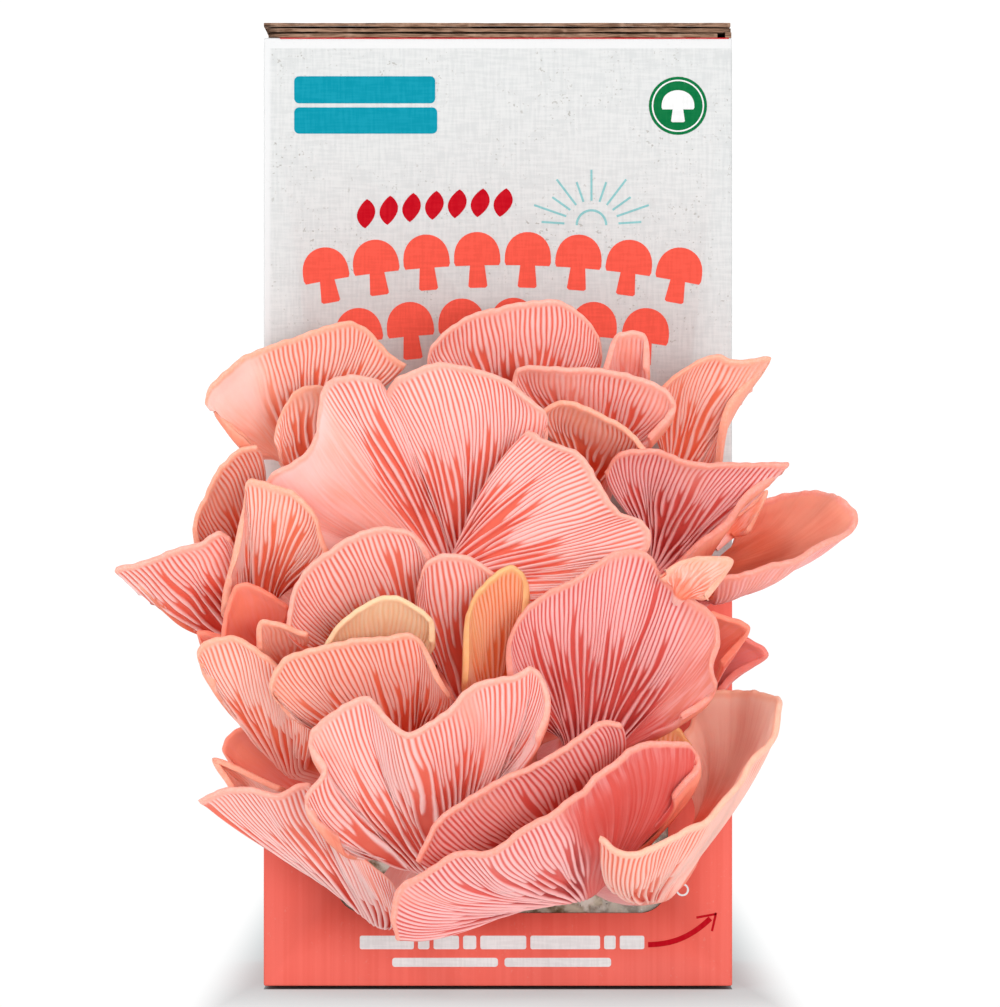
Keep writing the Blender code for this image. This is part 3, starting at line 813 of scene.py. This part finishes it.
def flesh_group():
    group = bpy.data.node_groups.new("flesh", "ShaderNodeTree")
    for label in FLESH_INPUTS:
        group.interface.new_socket(label, in_out="INPUT", socket_type="NodeSocketColor")
    group.interface.new_socket("Colour", in_out="OUTPUT", socket_type="NodeSocketColor")
    group.interface.new_socket("Height", in_out="OUTPUT", socket_type="NodeSocketFloat")
    colours = add_node(group, "NodeGroupInput").outputs
    gilled, ridge, underside, reach, rim, across = (
        add_node(group, "ShaderNodeAttribute", attribute_name=label).outputs["Fac"]
        for label in ("gilled", "ridge", "underside", "reach", "rim", "across"))
    where = object_place(group)[0]
    blotch = maths(group, "SUBTRACT", cloud(group, where, 48.0), 0.5)
    fibre = cloud(group, where, 1100.0, 3.0)
    plane = add_node(group, "ShaderNodeCombineXYZ",
                     {0: times(group, across, 900.0), 1: times(group, reach, 3.0)})
    streak = cloud(group, plane.outputs[0], 1.0, 3.0)

    # Painted shade: the gill valleys, and the plain underside, darken from coral to deep red towards
    # the stem.
    near = maths(group, "ADD", reach, times(group, blotch, 0.9))
    valley = mixed(group, ramp(group, near, 0.03, 0.52), colours["Deep"], colours["Valley_tone_and_shade"])
    valley = mixed(group, ramp(group, near, 0.8, 1.7), valley, colours["Rim"])
    slope = ramp(group, ridge, 0.15, 0.78)
    gills = mixed(group, slope, valley, colours["Ridge"])
    even = mixed(group, ramp(group, near, 0.2, 0.9), colours["Valley_tone_and_shade"], colours["Rim"])
    even = mixed(group, ramp(group, near, 1.0, 1.5), even, colours["Ridge"])
    pale = times(group, ramp(group, streak, 0.35, 0.7), ramp(group, near, -0.2, 0.5))
    under = mixed(group, times(group, pale, 0.6), even, colours["Ridge"])
    under = mixed(group, ramp(group, gilled, 0.05, 0.42), under, gills)
    # Painted shade: the outer face darkens to deep red towards the stem, down into the throat of a
    # funnel.
    outer = maths(group, "ADD", near, times(group, streak, 0.35))
    top = mixed(group, ramp(group, outer, 0.35, 1.25), colours["Heart_shade"], colours["Top"])
    body = mixed(group, underside, top, under)
    grain = times(group, ramp(group, fibre, 0.4, 0.7), 0.25)
    edge = mixed(group, grain, colours["Rim"], colours["Ridge"])
    body = mixed(group, ramp(group, rim, 0.25, 0.9), body, edge)
    stem = mixed(group, ramp(group, streak, 0.3, 0.75), colours["Stem"], colours["Ridge"])
    body = mixed(group, ramp(group, reach, 0.02, -0.35), body, stem)
    out = add_node(group, "NodeGroupOutput")
    group.links.new(body, out.inputs["Colour"])
    group.links.new(maths(group, "ADD", fibre, streak), out.inputs["Height"])
    return group


FLESH = flesh_group()


def flesh_finish(name, *colours):
    """Flesh in seven colours, in the order of FLESH_INPUTS."""
    finish, tree, shader = new_finish(name, 0.52, 0.28)
    flesh = add_node(tree, "ShaderNodeGroup", dict(zip(FLESH_INPUTS, colours)), node_tree=FLESH)
    tree.links.new(flesh.outputs["Colour"], shader.inputs["Base Color"])
    shader.inputs["Subsurface Weight"].default_value = 0.15
    shader.inputs["Subsurface Radius"].default_value = (1.0, 0.35, 0.25)
    shader.inputs["Subsurface Scale"].default_value = 0.0012
    bump(tree, shader, flesh.outputs["Height"], 0.00012, 0.5)
    return finish


# In each finish the second colour is the coral between the gills, partly painted shade. The third and
# the sixth colours are the painted shade of deep red towards the stem.
PINK = flesh_finish(
    "pink_flesh", (0.99, 0.63, 0.6), (0.84, 0.17, 0.11), (0.6, 0.03, 0.012), (0.96, 0.42, 0.33),
    (0.96, 0.42, 0.3), (0.78, 0.11, 0.04), (0.93, 0.42, 0.37))
PEACH = flesh_finish(
    "peach_flesh", (0.99, 0.62, 0.55), (0.86, 0.19, 0.1), (0.72, 0.06, 0.015), (0.96, 0.42, 0.29),
    (0.95, 0.42, 0.3), (0.84, 0.19, 0.09), (0.95, 0.46, 0.4))
DUSTY = flesh_finish(
    "dusty_flesh", (0.95, 0.52, 0.51), (0.72, 0.11, 0.09), (0.38, 0.015, 0.015), (0.9, 0.34, 0.26),
    (0.93, 0.38, 0.27), (0.66, 0.1, 0.04), (0.8, 0.3, 0.31))
CREAM = flesh_finish(
    "cream_flesh", (1.0, 0.8, 0.56), (0.97, 0.62, 0.34), (0.85, 0.36, 0.1), (0.9, 0.6, 0.36),
    (0.85, 0.5, 0.25), (0.75, 0.3, 0.08), (0.9, 0.5, 0.3))
GOLD = flesh_finish(
    "golden_flesh", (0.97, 0.5, 0.33), (0.86, 0.22, 0.07), (0.8, 0.17, 0.03), (0.88, 0.47, 0.2),
    (0.85, 0.4, 0.18), (0.75, 0.2, 0.04), (0.9, 0.42, 0.25))
SHELL_PINK = flesh_finish(
    "shell_pink_flesh", (0.98, 0.54, 0.46), (0.86, 0.18, 0.1), (0.65, 0.04, 0.015), (0.96, 0.5, 0.36),
    (1.0, 0.62, 0.5), (0.72, 0.08, 0.04), (0.8, 0.3, 0.33))
# Painted shade: two darker copies of the flesh, dark red and mauve, for the small caps that lie in
# shadow at the back and low down among the others.
SHADED_RED = flesh_finish(
    "red_flesh", (0.93, 0.3, 0.25), (0.85, 0.11, 0.07), (0.6, 0.04, 0.02), (0.93, 0.27, 0.18),
    (0.88, 0.16, 0.1), (0.6, 0.05, 0.02), (0.75, 0.25, 0.28))
SHADED_MAUVE = flesh_finish(
    "mauve_flesh", (0.75, 0.24, 0.24), (0.65, 0.13, 0.13), (0.4, 0.04, 0.05), (0.78, 0.22, 0.18),
    (0.72, 0.16, 0.14), (0.42, 0.05, 0.07), (0.6, 0.2, 0.26))


def grow_group(group, seed):
    """Grows mushrooms from (name, neck, rim, bulge, stem radius, foot, finish, extras). A slot that
    the extras name is not used."""
    for number, (name, neck, rim, bulge, stem, foot, finish, *extras) in enumerate(group):
        looks = {"slot": "pink_flesh", **(extras[0] if extras else {})}
        slot = looks.pop("slot")
        grown = grow_mushroom(name, neck, rim, bulge, stem, foot, seed + number, **looks)
        finish_piece(grown, name, finish)


# ------------------------------------------------------------
# The highest fans: they reach up behind the others and lean on the carton's white face. All are
# thin flesh, gilled on the side towards the grower, and spring from the top of the base.

TOP_FANS = [
    ("left_top_fan", (-49, 16, 130),
     [(-58, 24, 131.5), (-65, 28, 138), (-69.5, 30, 144), (-66, 31, 149), (-58, 30, 154), (-47, 28,
      158), (-38, 27, 161.5), (-32, 26, 160), (-27, 25, 155), (-22, 24, 151)],
     3, 3.5, None, PEACH, {"calm": (-1, 0.45, 0.7)}),
    ("left_inner_lobe", (-46, 29, 126),
     [(-52, 34, 133), (-50, 36, 142), (-45, 36, 146), (-36, 34, 144)],
     2, 2.5, ("branch", (-43, 18.8, 120)), PEACH, {"gills": 0.5}),
    ("top_centre_fan", (5, 12, 137),
     [(-17, 26, 149), (-16, 28, 156), (-10, 29, 161), (-2, 30, 164), (7, 30.5, 166), (15, 29,
      166.5), (20, 28, 163), (24, 26, 158), (25, 24, 154)],
     3, 4.0, (-4, 4, 137), PINK),
    ("top_small_cap", (30, 14, 138),
     [(25, 30, 150), (28, 31, 158), (35, 31, 158), (36, 30, 150)],
     2, 2.5, (20, 2, 110), PINK, {"gills": 0.5}),
    ("top_right_upper_tongue", (24, 18, 129),
     [(3, 36, 146), (5, 38, 150), (13, 40, 150.5), (23, 40, 150), (30, 41, 149), (37, 41, 146),
      (42, 40, 142), (41, 39, 138), (36, 38, 133)],
     3, 3.5, (14, 16, 100), PINK, {"gills": 0.6}),
    ("top_right_lower_tongue", (22, 26, 125),
     [(10, 44, 140), (17, 46, 142), (30, 47, 136), (37, 46, 129)],
     2, 3.0, (12, 32, 96), PEACH, {"gills": 0.6}),
    ("upper_right_fan", (45, 12, 123),
     [(37, 26, 142), (40, 29, 147), (46, 32, 151), (52, 33, 153.5), (57, 33.5, 152), (65, 33,
      152.5), (60, 31, 147), (56, 30, 142), (54, 27, 134), (52, 24, 126)],
     2, 3.5, (40, 4, 105), PEACH, {"gills": 0.55}),
]
grow_group(TOP_FANS, 100)

# ------------------------------------------------------------
# The widest fans, across the middle: one broad fan with a deep heart, and one that lies over its
# right side. Both are thick at the heart and paper-thin at the edge.

WIDE_FANS = [
    ("upper_centre_wide_fan", (-13, 26, 105),
     [(-40, 46, 105), (-48, 49, 112), (-54, 50, 120), (-53, 51, 126), (-46, 51, 129), (-42.5, 51,
      134), (-42, 52.5, 140), (-40, 53.5, 146), (-35, 54.5, 148.5), (-30, 53, 147.5), (-26.5, 50,
      143.5), (-23.5, 52.5, 147.5), (-17, 54.5, 150), (-8, 54, 150), (1, 54, 147.5), (8, 55, 143),
      (11, 54, 139), (11, 53.5, 134)],
     6, 5.5, (-12, 22, 105), PINK, {"ruffle": 2.6, "calm": (-1, 0.42, 0.5)}),
    ("right_middle_fan", (-10, 40, 98),
     [(7, 56, 135), (12, 58.5, 132.5), (19, 60, 130), (22, 61, 126), (25, 61.5, 121), (28, 62.5,
      116), (34, 63, 113), (36, 62, 109), (33, 60, 105), (22, 57.5, 97.5), (8, 54, 92)],
     4, 4.0, (-2, 42, 92), PINK),
]
grow_group(WIDE_FANS, 200)

# ------------------------------------------------------------
# The mushrooms of the right side: fans and funnels that turn outwards past the carton's edge,
# dustier and pinker than the rest, with smooth orange faces inside the funnels.

RIGHT_CAPS = [
    ("right_wing_fan", (41, 26, 103),
     [(25, 44, 125), (29, 47, 130), (37, 48, 130.5), (46, 50, 128.5), (56, 51, 127), (62, 51.5,
      127.5), (68, 52, 127.5), (66, 51, 125), (60, 49.5, 120), (54, 47, 113), (48, 44, 108), (42,
      42, 104)],
     4, 4.0, None, DUSTY, {"calm": (0.55, 0.75, -0.1)}),
    ("right_small_tip", (55, 32, 111),
     [(57, 36, 116), (64, 38, 121), (60, 36, 111)],
     1, 1.5, ("branch", (51.5, 33, 107)), PEACH, {"gills": 0.0}),
    ("right_funnel", (49, 16, 97),
     [(51, 50, 101), (58, 52, 102), (65, 52, 104.5), (71, 50, 106), (77, 47, 109.5), (83, 44,
      112.5), (84.5, 41, 115), (81, 37, 119), (76, 30, 121), (69, 22, 120), (63, 18, 117), (57, 16,
      114)],
     7, 4.0, None, DUSTY, {"gills": 0.4}),
    ("right_big_fan", (21, 44, 61),
     [(4, 66, 70), (2, 70, 78), (2.5, 72.5, 86), (6, 73.5, 93), (12, 74.5, 98), (19, 75, 102.5),
      (27, 76.5, 106.5), (34, 77, 107), (38, 74.5, 101), (44, 75.5, 97), (50, 74, 92), (51.5, 72,
      86), (50, 70.5, 80), (50, 69, 74), (43, 66, 68)],
     5, 5.0, None, DUSTY, {"calm": (0.74, 2, -0.1)}),
    ("right_folded_lobe", (42, 77.8, 97),
     [(37, 80, 101), (43, 82, 105), (54, 83, 105), (48, 82, 96)],
     1, 1.5, ("branch", (41, 75.5, 95)), PEACH, {"gills": 0.3}),
    ("right_ruffled_cap", (33, 37, 52),
     [(27, 43, 54), (33, 44, 63), (41, 43, 66), (46, 41, 61)],
     2, 3.0, (36, 28, 50), GOLD, {"slot": "golden_flesh", "gills": 0.5}),
    ("right_back_red_cap", (46, 30, 76),
     [(50, 56, 93), (59, 56, 89), (53, 50, 80)],
     2, 3.0, None, SHADED_RED, {"slot": "red_flesh", "gills": 0.2}),
    ("right_back_mauve_cap", (46, 20, 71),
     [(58, 40, 87), (64, 42, 82), (57, 38, 77), (53, 36, 73)],
     2, 3.0, None, SHADED_MAUVE, {"slot": "mauve_flesh", "gills": 0.0}),
]
grow_group(RIGHT_CAPS, 300)

# ------------------------------------------------------------
# The young caps of the middle: small arched fans packed tight, two of them cream and golden
# where they have had less light.

CENTRE_CAPS = [
    ("cream_cap", (-27, 44, 74),
     [(-41, 68, 84), (-38, 69.5, 89), (-33, 71, 93.5), (-26, 72, 96.5), (-20, 71.5, 95), (-15, 70,
      91.5), (-14.5, 69, 86)],
     3, 3.5, None, CREAM, {"slot": "cream_flesh", "gills": 0.5}),
    ("golden_cap", (-2, 46, 68),
     [(-8, 66, 77), (-8, 67.5, 86), (-6, 69, 96), (-1, 70, 102), (4, 69.5, 103.5), (7, 68.5, 99.5),
      (6.5, 68, 92)],
     3, 3.0, None, GOLD, {"slot": "golden_flesh", "gills": 0.6}),
    ("centre_left_arch", (-23, 38, 81),
     [(-50, 60, 88), (-48, 62, 97), (-43, 64.5, 104), (-36, 66, 109.5), (-28, 66, 112.5), (-21,
      65.5, 112), (-17, 64.5, 108), (-15, 62, 102)],
     4, 4.0, None, PINK),
    ("centre_pale_fan", (-7, 42, 74),
     [(-19, 62, 98), (-16, 66, 105), (-8, 67, 106), (1, 66, 101)],
     3, 3.0, None, PINK),
]
grow_group(CENTRE_CAPS, 400)

# ------------------------------------------------------------
# The mushrooms of the left side: a narrow upright fan, a pointed one far out to the side, and
# small smooth caps that fill the spaces between.

LEFT_CAPS = [
    ("left_column", (-57, 30, 92),
     [(-64, 44, 94), (-62.5, 48, 105), (-60, 51, 116), (-58.5, 54, 123.5), (-53, 56, 122.5), (-47,
      57.5, 120.5), (-43, 58, 116), (-41, 56.5, 110), (-38, 54, 105)],
     4, 4.0, (-50, 34, 94), PEACH, {"calm": (-1, 0.25, 0.5)}),
    ("left_back_fan", (-60, 12, 103),
     [(-72, 26, 106), (-73, 28, 113), (-70, 29, 120), (-66.5, 30, 127), (-61, 31, 131), (-57, 32,
      131.5)],
     2, 3.0, None, PEACH),
    ("left_tip_fan", (-65, 22, 88),
     [(-84, 40, 99), (-90, 42, 103), (-84, 43.5, 104.5), (-76, 43, 107), (-70, 43.5, 109), (-66,
      43, 111.5), (-63, 42, 110)],
     3, 3.5, (-60, 14, 80), PINK),
    ("left_smooth_cap", (-56, 36, 83),
     [(-65, 50, 86), (-64, 51.5, 93), (-61, 52.5, 99), (-56, 52, 98.5), (-49, 50, 94)],
     3, 3.0, (-52, 34, 66), SHADED_RED, {"gills": 0.0}),
    ("left_small_arch", (-49, 44, 79),
     [(-56, 61, 84), (-55, 63, 91), (-44, 61, 88)],
     2, 2.5, (-46, 48, 79), PEACH, {"gills": 0.4}),
    ("left_sliver", (-63, 34, 80),
     [(-70, 40, 83), (-71, 42, 88), (-65, 42, 87)],
     1, 2.0, ("branch", (-57, 32, 77.5)), SHADED_RED, {"gills": 0.3}),
    ("left_lower_fan", (-48, 38, 56),
     [(-67, 56, 76), (-70, 60, 82), (-68, 62.5, 86), (-61, 64, 87), (-55, 64.5, 84), (-50, 63, 79),
      (-43, 58, 66)],
     4, 3.5, None, PEACH),
    ("left_deep_cap", (-42, 8, 48),
     [(-62, 22, 52), (-66, 26, 60), (-58, 27, 66), (-42, 22, 66)],
     2, 3.0, None, SHADED_RED, {"gills": 0.0}),
]
grow_group(LEFT_CAPS, 500)

# ------------------------------------------------------------
# The fans at the front and bottom: the nearest and largest, ruffled at the edge, which hang
# forward out of the window and over its lower edge.

FRONT_FANS = [
    ("lower_left_arch", (-23, 48, 61),
     [(-49, 68, 70), (-53, 72, 76), (-50, 75, 81.5), (-43, 77.5, 84.5), (-35, 78, 86.5), (-27, 78,
      88), (-20, 77, 88), (-16, 75.5, 83), (-11, 72, 74)],
     4, 4.0, None, PEACH),
    ("front_centre_fan", (-15, 50, 38),
     [(-36, 70, 41), (-42, 75, 45.5), (-44.5, 76.5, 49), (-43.5, 78, 53), (-40.5, 80, 57), (-43,
      81.5, 63), (-40, 83, 69), (-35, 85.5, 72.5), (-30, 86.5, 73.5), (-25, 90, 70), (-20.5, 91,
      66.5), (-15, 89.5, 69), (-7, 88, 75), (1, 87.5, 78.5), (7, 86, 81.5), (10.5, 86, 78), (12,
      86.5, 71), (9.5, 86, 64)],
     6, 7.0, (-9, 42, 28), PINK, {"ruffle": 2.0}),
    ("front_diagonal_fan", (14, 56, 39),
     [(-19, 88, 37), (-15, 91, 45), (-7, 91.5, 51), (1, 92.5, 55.5), (9, 92, 60.5), (17, 92.5, 64),
      (23, 91, 68.5), (28, 89.5, 68)],
     4, 4.0, (8, 62, 46), DUSTY),
    # Its calm darkens the fan's right lobe: painted shade, for a lobe that turns up into shadow.
    ("bottom_front_fan", (19, 58, 30),
     [(-24, 88, 20), (-25, 92, 25), (-20, 97, 32.5), (-11, 98.5, 38.5), (-2, 98.5, 40.5), (6, 98.5,
      45), (14, 98, 51), (20, 96, 52.5), (24, 94, 58), (29, 91, 62.5), (36, 87, 64.5), (43, 84,
      63), (46, 82, 58), (40, 80, 50)],
     6, 5.0, (24, 60, 26), DUSTY, {"calm": (0.5, 2, -0.8)}),
    ("bottom_right_funnel", (38, 46, 29),
     [(23.5, 93, 43), (28, 96.5, 41), (34, 97.5, 40), (39, 96.5, 41.5), (43.5, 94.5, 45), (48, 92,
      47), (52, 88, 53), (57, 83, 57.5), (62, 77, 64.5), (65.5, 69, 71.5), (62, 60, 73.5), (55, 50,
      74), (48, 42, 71), (44, 38, 64), (39, 36, 55)],
     6, 5.0, (32, 32, 16), SHELL_PINK, {"ruffle": 2.4, "calm": (0.6, 2, 0.1)}),
    ("bottom_left_fan", (-28, 34, 21),
     [(-70, 54, 49), (-64, 58, 51.5), (-57, 61, 52.5), (-51, 62, 50.5), (-44, 62, 52.5), (-40, 60,
      46), (-34, 57, 39), (-28, 54, 31), (-24, 50, 25)],
     4, 4.0, (-34, 14, 18), PINK),
    ("bottom_left_tip", (-50, 26, 45),
     [(-63, 44, 50), (-67, 45, 58), (-51, 44, 51)],
     1, 2.5, None, PEACH, {"gills": 0.6}),
]
grow_group(FRONT_FANS, 600)

# ------------------------------------------------------------
# The studio: a white sweep that glows, grey with painted shadow close round the carton's foot, large
# soft lights and a long lens level with the carton's middle.
# It isn't part of the object.

CAMERA_AWAY = 1.3
VIEW_HEIGHT = 0.2456
SENSOR = 36


def stage_plane(name, size, at, turn, finish):
    unselect()
    bpy.ops.mesh.primitive_plane_add(size=size, location=at, rotation=turn)
    plane = bpy.context.object
    plane.name = name
    plane.data.materials.append(finish)


glow = bpy.data.materials.new("floor_with_painted_shadow")
glow.use_nodes = True
tree = glow.node_tree
shader = tree.nodes["Principled BSDF"]
shader.inputs["Roughness"].default_value = 0.4
x, y, _ = object_place(tree)[1]
# Painted shadow: away from the carton the floor glows white, but close beside it and in front of it
# the glow drops to grey, and under it the glow goes out, a painted contact shadow in the gap. There
# its colour is a diffuse blue-grey, tinted to cancel the pink light bounced from the coral print.
beside = maths(tree, "SUBTRACT", maths(tree, "ABSOLUTE", x), SIDE)
clear = ramp(tree, maths(tree, "MAXIMUM", beside, times(tree, y, -0.1)), 0.0, 0.018)
under = times(tree, maths(tree, "LESS_THAN", beside, 0.0), maths(tree, "GREATER_THAN", y, FRONT))
glow_with_painted_shadow = maths(tree, "ADD", 0.27, times(tree, clear, 0.76))
tree.links.new(times(tree, glow_with_painted_shadow, maths(tree, "SUBTRACT", 1.0, under)),
               shader.inputs["Emission Strength"])
shader.inputs["Emission Color"].default_value = (1, 1, 1, 1)
shader.inputs["Specular IOR Level"].default_value = 0.0
tree.links.new(mixed(tree, clear, (0.33, 0.39, 0.4), (0.0, 0.0, 0.0)), shader.inputs["Base Color"])
stage_plane("floor", 12, (0, 0, -0.0008), (0, 0, 0), glow)

backdrop = bpy.data.materials.new("white_backdrop")
backdrop.use_nodes = True
shader = backdrop.node_tree.nodes["Principled BSDF"]
shader.inputs["Base Color"].default_value = (0, 0, 0, 1)
shader.inputs["Emission Color"].default_value = (1, 1, 1, 1)
shader.inputs["Emission Strength"].default_value = 1.05
stage_plane("backdrop", 30, (0, 5.0, 14.9), (math.radians(90), 0, 0), backdrop)

world = bpy.data.worlds.new("studio")
world.use_nodes = True
world.node_tree.nodes["Background"].inputs[0].default_value = (1, 1, 1, 1)
world.node_tree.nodes["Background"].inputs[1].default_value = 0.56
bpy.context.scene.world = world


def soft_light(name, at, aim, width, height, power):
    lamp = bpy.data.lights.new(name, "AREA")
    lamp.shape = "RECTANGLE"
    lamp.size = width
    lamp.size_y = height
    lamp.energy = power
    thing = bpy.data.objects.new(name, lamp)
    bpy.context.scene.collection.objects.link(thing)
    thing.location = at
    thing.rotation_euler = (Vector(aim) - Vector(at)).to_track_quat("-Z", "Y").to_euler()


soft_light("key", (-0.55, -0.9, 0.95), (0, -0.08, 0.1), 0.35, 0.35, 4.9)
soft_light("fill", (0.4, -1.55, 0.17), (0, 0, 0.13), 1.0, 0.28, 10)

lens = bpy.data.cameras.new("camera")
lens.sensor_fit = "VERTICAL"
lens.sensor_height = SENSOR
lens.lens = SENSOR * CAMERA_AWAY / VIEW_HEIGHT
lens.clip_end = 20
camera = bpy.data.objects.new("camera", lens)
camera.location = (0.0005, FRONT - CAMERA_AWAY, 0.1177)
camera.rotation_euler = (math.radians(90), 0, 0)
bpy.context.scene.collection.objects.link(camera)
bpy.context.scene.camera = camera
bpy.context.scene.view_settings.view_transform = "Standard"
